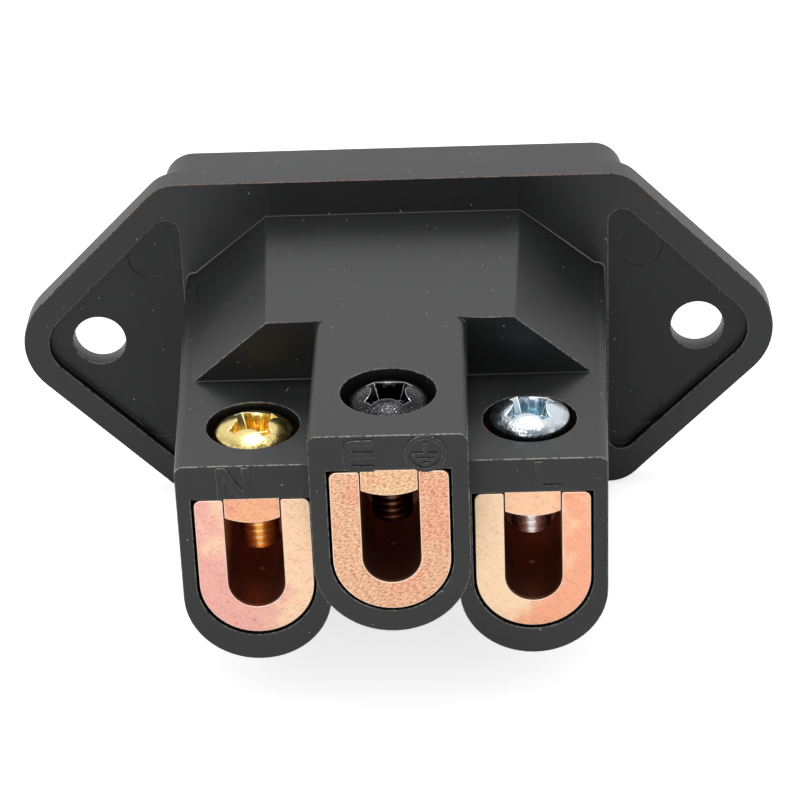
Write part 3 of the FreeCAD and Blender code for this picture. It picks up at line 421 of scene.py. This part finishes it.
def screwMetal(terminal, rubbed):
    look = dict(screwLook, **screwLooks[terminal])
    low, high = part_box("screw_" + terminal)
    axis = (low + high) / 2
    material, tree = newMaterial(look["name"] + ("Rubbed" if rubbed else ""))
    place = addNode(tree, "ShaderNodeTexCoord").outputs["Object"]
    blotches = addNode(tree, "ShaderNodeTexNoise", {"Scale": 1 / (look["blotchMm"] * mm), "Detail": 4.0,
                       "Roughness": 0.6}, {"Vector": place})
    blotchesAndDarkReflection = addNode(tree, "ShaderNodeMapRange", between(look["blotchSpan"], 0.0, look["blotched"]),
                    {"Value": blotches.outputs["Fac"]})
    centred = addNode(tree, "ShaderNodeVectorMath", {"operation": "SUBTRACT", 1: (axis.x, axis.y, high.z)}, {0: place})
    flat = addNode(tree, "ShaderNodeVectorMath", {"operation": "MULTIPLY", 1: (1, 1, 0)}, {0: centred.outputs[0]})
    radius = addNode(tree, "ShaderNodeVectorMath", {"operation": "LENGTH"}, {0: flat.outputs[0]})
    depth = addNode(tree, "ShaderNodeSeparateXYZ", None, {"Vector": centred.outputs[0]})
    # partly real blotches, partly painted dark reflection: they grow on the side away from the lit side, where the dome
    # reflects dark walls
    shifted = addNode(tree, "ShaderNodeVectorMath", {"operation": "SUBTRACT", 1: (look["litSideShift"] * mm, 0, 0)},
                      {0: flat.outputs[0]})
    side = addNode(tree, "ShaderNodeVectorMath", {"operation": "LENGTH"}, {0: shifted.outputs[0]})
    outer = addNode(tree, "ShaderNodeMapRange", between(look["darkSideRadius"], unit=mm),
                    {"Value": side.outputs["Value"]})
    blotchesAndDarkReflection = addNode(tree, "ShaderNodeMath", {"operation": "MULTIPLY"}, {0: blotchesAndDarkReflection.outputs[0], 1: outer.outputs[0]})
    layers = [("blotchAndDarkReflection", blotchesAndDarkReflection.outputs[0])]
    if look["facets"]:
        glint = addNode(tree, "ShaderNodeTexNoise", {"Scale": 1 / (look["facetMm"] * mm), "Detail": 2.0},
                        {"Vector": place})
        glint = addNode(tree, "ShaderNodeMapRange", between(look["facetSpan"]), {"Value": glint.outputs["Fac"]})
        layers.append(("facets", glint.outputs[0]))
    # painted shade and reflection inside the cross recess, on the head's own faces only
    if not rubbed:
        inner = addNode(tree, "ShaderNodeMapRange", between(look["recessRadius"], unit=mm),
                        {"Value": radius.outputs["Value"]})
        sunk = addNode(tree, "ShaderNodeMapRange", between(look["recessWall"], unit=mm), {"Value": depth.outputs["Z"]})
        above = addNode(tree, "ShaderNodeMath", {"operation": "GREATER_THAN", 1: look["recessFloor"] * mm},
                        {0: depth.outputs["Z"]})
        recessShading = addNode(tree, "ShaderNodeMath", {"operation": "MULTIPLY"}, {0: inner.outputs[0], 1: sunk.outputs[0]})
        recessShading = addNode(tree, "ShaderNodeMath", {"operation": "MULTIPLY"}, {0: recessShading.outputs[0], 1: above.outputs[0]})
        layers.append(("recessShading", recessShading.outputs[0]))
    # the head's skirt is pitted, its crown nearly smooth
    dents = addNode(tree, "ShaderNodeTexNoise", {"Scale": 1 / (look["dentMm"] * mm), "Detail": 3.0}, {"Vector": place})
    skirt = addNode(tree, "ShaderNodeMapRange", between(look["skirtRadius"], look["crown"], unit=mm),
                    {"Value": radius.outputs["Value"]})
    pits = addNode(tree, "ShaderNodeMath", {"operation": "MULTIPLY"}, {0: dents.outputs["Fac"], 1: skirt.outputs[0]})
    bump = addNode(tree, "ShaderNodeBump", {"Strength": look["dents"], "Distance": 0.05 * mm},
                   {"Height": pits.outputs[0]})
    # the rolled thread is rougher than the pressed head; its copper-tinted colour is a painted reflection of the copper
    # round it
    shank = addNode(tree, "ShaderNodeMapRange", between(look["shank"], unit=mm), {"Value": depth.outputs["Z"]})
    layers.append(("thread", shank.outputs[0]))
    rough = addNode(tree, "ShaderNodeMapRange", between((0, 1), look["roughness"] - 0.05, look["roughness"] + 0.12),
                    {"Value": blotches.outputs["Fac"]})
    rough = addNode(tree, "ShaderNodeMath", {"operation": "MULTIPLY_ADD", 1: look["shankRoughness"]},
                    {0: shank.outputs[0], 2: rough.outputs[0]})
    colour = None
    for tone, amount in layers:
        coat = addNode(tree, "ShaderNodeMix", {"data_type": "RGBA", 6: linear(look["rubbed" if rubbed else "body"]),
                       7: linear(look[tone])}, {"Factor": amount})
        if colour:
            tree.links.new(colour, coat.inputs[6])
        colour = coat.outputs[2]
    surface = addNode(tree, "ShaderNodeBsdfPrincipled", {"Metallic": 1.0},
                      {"Base Color": colour, "Roughness": rough.outputs[0], "Normal": bump.outputs["Normal"]})
    addNode(tree, "ShaderNodeOutputMaterial", None, {"Surface": surface.outputs[0]})
    return material


nylon = mouldedNylon("mouldedNylon")
# the edge materials: scuffs and wear, with a painted highlight along convex edges that also brightens the marks' caps
nylonEdge = mouldedNylon("wornAndHighlitNylonEdge", rubbed=0.34)
markEdge = mouldedNylon("wornAndHighlitMarkEdge", rubbed=0.3)
nylonPanel = mouldedNylon("sunkPanelNylon", shine=0.36)   # the ears' sunk panels, from a coarser part of the mould
shadedStepNylon = mouldedNylon("stepNylonPaintedShade", shine=0.24)   # painted shade: the step above the side posts gets the dullest copy, for the dark post tops that it reflects
print("materials ready")

# sizes and places on the housing in millimetres, the places given for one side of it
moulding = {"edge": 0.06, "markEdge": 0.03, "markRelief": 0.1, "earthFace": -29.25, "ejector": (16.15, 6.085, 1.55),
            "junction": (4.65, -25.4, -14.9, -2.1, 5.25), "notch": (12.5, 15, 1.8, 2.3, 11.3),
            "crownCorner": (7.4, 8.45, 9.1), "panel": 0.6, "step": -15}


def keptSharp(v):
    # the shallow ejector marks, the inner corners between side posts and earth post, the steps from bezel to
    # flange and the crown's small corner arcs, all finer than the rounding
    x, y, z = abs(v.x) / mm, v.y / mm, v.z / mm
    across, up, reach = moulding["ejector"]
    side, front, rear, bottom, top = moulding["junction"]
    left, right, near, far, high = moulding["notch"]
    start, end, level = moulding["crownCorner"]
    return ((0.5 < y < 0.8 and (x - across) ** 2 + (abs(z) - up) ** 2 < reach ** 2)
            or (x < side and front < y < rear and bottom < z < top)
            or (side - 0.1 < x < side and abs(y - moulding["step"]) < 0.05)
            or (left < x < right and near < y < far and abs(z) > high)
            or (start < x < end and z > level and (abs(y) < 0.05 or abs(y + 15) < 0.05)))


housing = copyOfNode("housing", "housing_moulding", nylon, nylonEdge)
softenEdges(housing, moulding["edge"] * mm, keptSharp)
# the earth post's face sits back by the marks' relief, so that they reach the solid's own depth
editWhere(housing, lambda v: v.y < (moulding["earthFace"] + 0.12) * mm)
bpy.ops.transform.translate(value=(0, moulding["markRelief"] * mm, 0))
bpy.ops.object.mode_set(mode="OBJECT")
housing.data.materials.append(nylonPanel)
housing.data.materials.append(shadedStepNylon)
dullFaces = {2: (moulding["panel"], 0.15), 3: (moulding["step"], 0.05)}   # by material slot: place and how near
# the step's duller copy is painted shade; the ears' sunk panels have a coarser finish
for face in housing.data.polygons:
    if face.normal.y < -0.99 and face.material_index == 0:
        for slot, (depth, near) in dullFaces.items():
            if abs(face.center.y / mm - depth) < near:
                face.material_index = slot
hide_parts("housing")
finishPiece(housing, "socket")

bars = {"clamp": {"node": "contact_", "piece": "clamp_", "edge": 0.06},
        "bridge": {"node": "bridge_", "piece": "threaded_bridge_", "edge": 0.05}}
for name in terminals:
    for bar, copper in bars.items():
        title = bar + name.title()
        piece = copyOfNode(copper["node"] + name, copper["piece"] + name,
                           sawnCopper("sawnCopper_" + title, name, bar, False),
                           sawnCopper("rubbedCopper_" + title, name, bar, True))
        softenEdges(piece, copper["edge"] * mm)
        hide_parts(copper["node"] + name)
        finishPiece(piece, "socket")

# raised marks, in millimetres on the post's face: blocks to add or cut as left, right, bottom, top and how far
# the top leans, corners to round as across, up and radius, and a ring as its centre and two radii
marks = {
    "mark_neutral": {"face": -25.35, "add": [(-10.28, -9.84, 2.98, 5.1, 0), (-9.03, -8.46, 2.98, 5.1, -1.25),
                                             (-8.77, -8.3, 2.98, 5.1, 0)], "cut": [], "round": []},
    "mark_earth": {"face": -29.15, "add": [(-2.59, -0.8, 6.87, 8.93, 0)],
                   "cut": [(-2.08, -0.6, 8.14, 8.55, 0), (-2.08, -0.6, 7.25, 7.73, 0)],
                   "round": [(-2.59, 8.93, 0.6), (-2.59, 6.87, 0.6), (-2.08, 8.14, 0.18), (-2.08, 7.25, 0.2),
                             (-2.08, 8.55, 0.1), (-2.08, 7.73, 0.1)]},
    "mark_earth_sign": {"face": -29.15, "add": [(2.02, 2.26, 7.9, 8.7, 0), (1.4, 2.88, 7.8, 8.02, 0),
                                                (1.66, 2.62, 7.5, 7.7, 0), (1.95, 2.33, 7.17, 7.4, 0)],
                        "cut": [], "round": [], "ring": (2.14, 7.97, 1.21, 0.93)},
    "mark_line": {"face": -25.35, "add": [(8.45, 8.87, 3.02, 5.03, 0), (8.45, 10.03, 3.02, 3.42, 0)], "cut": [],
                  "round": [(8.45, 3.02, 0.3), (8.87, 3.42, 0.15)]},
}


def placeBlock(face, left, right, bottom, top, litSideShift, depth):
    bpy.ops.object.select_all(action="DESELECT")
    bpy.ops.mesh.primitive_cube_add(size=1, location=((left + right) / 2 * mm, face * mm, (bottom + top) / 2 * mm))
    block = bpy.context.object
    block.scale = ((right - left) * mm, depth * mm, (top - bottom) * mm)
    applyTransform(block)
    if litSideShift:
        editWhere(block, lambda v: v.z > (top - 0.01) * mm)
        bpy.ops.transform.translate(value=(litSideShift * mm, 0, 0))
        bpy.ops.object.mode_set(mode="OBJECT")
    return block


def placeDisc(face, across, up, radius, depth):
    bpy.ops.object.select_all(action="DESELECT")
    bpy.ops.mesh.primitive_cylinder_add(vertices=96, radius=radius * mm, depth=depth * mm,
                                        location=(across * mm, face * mm, up * mm), rotation=(pi / 2, 0, 0))
    disc = bpy.context.object
    applyTransform(disc)
    return disc


for name, mark in marks.items():
    face, depth = mark["face"], 2 * moulding["markRelief"]   # half of the depth stays in the plastic
    blocks = [placeBlock(face, *block, depth) for block in mark["add"]]
    piece = blocks[0]
    for block in blocks[1:]:
        combine(piece, block, "UNION")
    for block in mark["cut"]:
        combine(piece, placeBlock(face, *block, 2 * depth), "DIFFERENCE")
    if "ring" in mark:
        across, up, outerRadius, innerRadius = mark["ring"]
        ring = placeDisc(face, across, up, outerRadius, depth)
        combine(ring, placeDisc(face, across, up, innerRadius, 2 * depth), "DIFFERENCE")
        combine(piece, ring, "UNION")
    for across, up, radius in mark["round"]:
        editWhere(piece, lambda v: abs(v.x - across * mm) < 0.01 * mm and abs(v.z - up * mm) < 0.01 * mm)
        bpy.ops.mesh.bevel(offset=radius * mm, segments=8, affect="EDGES")
        bpy.ops.object.mode_set(mode="OBJECT")
    piece.name = name
    piece.data.name = name
    giveMaterials(piece, nylon, markEdge)
    softenEdges(piece, moulding["markEdge"] * mm)
    finishPiece(piece, "socket")

# M2.5 thread: a triangular groove turned round the axis once, then copied to each screw
thread = {"pitch": 0.45, "root": 0.98, "grooveDepth": 0.37, "steps": 40, "turns": 15, "screwEdge": 0.05}
size = thread["grooveDepth"] / 1.5 * mm   # a triangle is one and a half times as deep as its radius
bpy.ops.object.select_all(action="DESELECT")
bpy.ops.mesh.primitive_circle_add(vertices=3, radius=size, location=(thread["root"] * mm + size, 0, 0),
                                  rotation=(pi / 2, -pi / 2, 0))
groove = bpy.context.object
applyTransform(groove)
applyModifier(groove, "SCREW", axis="Z", angle=2 * pi, screw_offset=thread["pitch"] * mm, iterations=thread["turns"],
              steps=thread["steps"], render_steps=thread["steps"])
bpy.ops.object.mode_set(mode="EDIT")
bpy.ops.mesh.select_all(action="SELECT")
bpy.ops.mesh.fill_holes(sides=4)
bpy.ops.mesh.select_all(action="SELECT")
bpy.ops.mesh.normals_make_consistent(inside=False)
bpy.ops.object.mode_set(mode="OBJECT")

for name in terminals:
    low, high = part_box("screw_" + name)
    screw = copyOfNode("screw_" + name, "clamp_screw_" + name, screwMetal(name, False), screwMetal(name, True))
    softenEdges(screw, thread["screwEdge"] * mm)
    selectOnly(groove)
    bpy.ops.object.duplicate()
    cutter = bpy.context.object
    cutter.location = ((low.x + high.x) / 2, (low.y + high.y) / 2, low.z - thread["pitch"] * mm)
    applyTransform(cutter)
    combine(screw, cutter, "DIFFERENCE")
    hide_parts("screw_" + name)
    finishPiece(screw, "screw_" + name)
bpy.data.objects.remove(groove)
print("screws ready")
